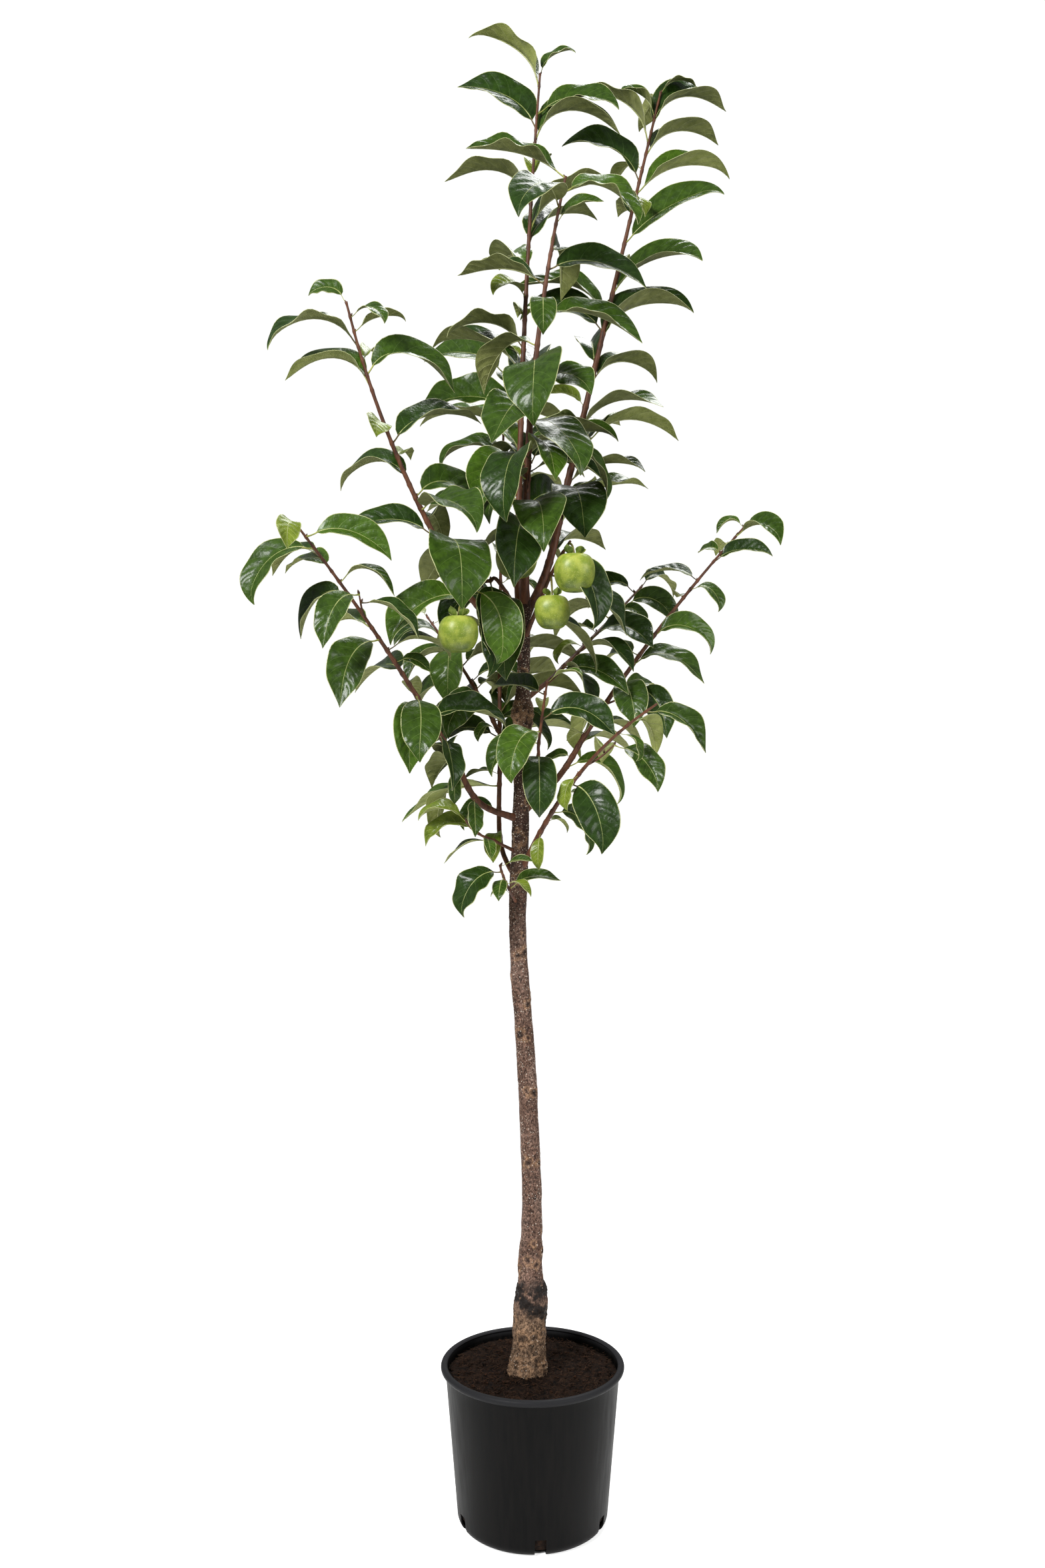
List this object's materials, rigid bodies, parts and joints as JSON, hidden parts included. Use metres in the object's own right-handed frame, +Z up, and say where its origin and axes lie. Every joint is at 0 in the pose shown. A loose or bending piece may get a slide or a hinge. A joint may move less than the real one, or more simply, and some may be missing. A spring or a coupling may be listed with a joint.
{
  "type": "potted persimmon tree",
  "caption": "Young grafted persimmon tree with upright leafy shoots and a few green fruits, standing in a round plastic nursery pot filled with potting mix.",
  "frame": {"origin": "centre of the pot's flat underside, on the surface that it stands on", "axes": "+Z up along the trunk, -Y towards the front of the tree, +X to the right"},
  "size_m": [0.8538, 0.5848, 2.4646],
  "materials": {
    "pot": "satin",
    "soil": "matte",
    "trunk_bark": "matte",
    "shoot_bark": "matte",
    "foliage": "satin"
  },
  "bodies": {
    "root": {"pot": "pot", "soil": "soil", "trunk": "trunk_bark", "leader_left": "shoot_bark", "leader_centre": "shoot_bark", "leader_right": "shoot_bark", "bough_left_high": "shoot_bark", "bough_left_low": "shoot_bark", "bough_left_back": "shoot_bark", "bough_back": "shoot_bark", "bough_right": "shoot_bark", "bough_right_low": "shoot_bark", "bough_right_back": "shoot_bark", "shoot_front": "shoot_bark", "foliage_leader_left": "foliage", "foliage_leader_centre": "foliage", "foliage_leader_right": "foliage", "foliage_bough_left_high": "foliage", "foliage_bough_left_low": "foliage", "foliage_bough_left_back": "foliage", "foliage_bough_back": "foliage", "foliage_bough_right": "foliage", "foliage_bough_right_low": "foliage", "foliage_bough_right_back": "foliage", "foliage_shoot_front": "foliage", "foliage_spur_left": "foliage", "foliage_spur_right": "foliage", "foliage_sprout_left": "foliage", "foliage_sprout_front": "foliage"}
  },
  "joints": []
}
